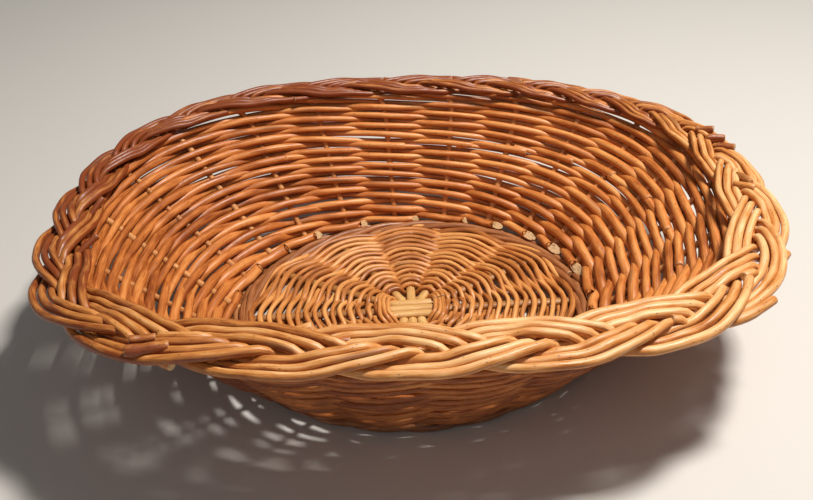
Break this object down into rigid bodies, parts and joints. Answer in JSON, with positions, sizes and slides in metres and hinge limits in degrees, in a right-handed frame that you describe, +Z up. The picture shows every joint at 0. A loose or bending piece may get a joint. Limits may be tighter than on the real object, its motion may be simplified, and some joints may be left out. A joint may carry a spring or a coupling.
{
  "type": "woven wicker basket",
  "caption": "Open oval basket of woven willow with a round spoked base, flaring randed walls and a wide flat plaited border, without handles or lid.",
  "frame": {"origin": "middle of the underside, on the surface the basket stands on, centred on its bounding box", "axes": "+Z up, +X along the basket's long side to the right as seen from the front, +Y towards the back"},
  "size_m": [0.4346, 0.3366, 0.1022],
  "materials": {
    "willow_weavers": "unvarnished buff willow rods, orange brown with dark specks, slightly glossy",
    "willow_stakes": "thicker buff willow rods, orange brown",
    "willow_border": "golden tan willow rods with a soft sheen",
    "willow_sticks": "thick pale base sticks, bare in the middle of the base",
    "willow_base_weave": "thin buff willow rods woven round the spokes",
    "willow_foot": "darker rods of the bottom edge"
  },
  "bodies": {
    "root": {"foot_ring": "willow_foot", "through_stick_1": "willow_sticks", "split_stick_1": "willow_sticks", "through_stick_2": "willow_sticks", "split_stick_2": "willow_sticks", "through_stick_3": "willow_sticks", "split_stick_3": "willow_sticks", "base_weave_1": "willow_base_weave", "base_weave_2": "willow_base_weave", "base_weave_3": "willow_base_weave", "base_weave_4": "willow_base_weave", "base_weave_5": "willow_base_weave", "base_weave_6": "willow_base_weave", "side_stake_01": "willow_stakes", "side_stake_02": "willow_stakes", "side_stake_03": "willow_stakes", "side_stake_04": "willow_stakes", "side_stake_05": "willow_stakes", "side_stake_06": "willow_stakes", "side_stake_07": "willow_stakes", "side_stake_08": "willow_stakes", "side_stake_09": "willow_stakes", "side_stake_10": "willow_stakes", "side_stake_11": "willow_stakes", "side_stake_12": "willow_stakes", "side_stake_13": "willow_stakes", "side_stake_14": "willow_stakes", "side_stake_15": "willow_stakes", "side_stake_16": "willow_stakes", "side_stake_17": "willow_stakes", "side_stake_18": "willow_stakes", "side_stake_19": "willow_stakes", "side_stake_20": "willow_stakes", "side_stake_21": "willow_stakes", "side_stake_22": "willow_stakes", "wall_course_01": "willow_weavers", "wall_course_02": "willow_weavers", "wall_course_03": "willow_weavers", "wall_course_04": "willow_weavers", "wall_course_05": "willow_weavers", "wall_course_06": "willow_weavers", "wall_course_07": "willow_weavers", "wall_course_08": "willow_weavers", "wall_course_09": "willow_weavers", "wall_course_10": "willow_weavers", "wall_course_11": "willow_weavers", "wall_course_12": "willow_weavers", "wall_course_13": "willow_weavers", "wall_course_14": "willow_weavers", "wall_course_15": "willow_weavers", "wall_course_16": "willow_weavers", "wall_course_17": "willow_weavers", "wall_course_18": "willow_weavers", "wall_course_19": "willow_weavers", "wall_course_20": "willow_weavers", "border_strand_1": "willow_border", "border_strand_2": "willow_border", "border_strand_3": "willow_border"}
  },
  "joints": []
}
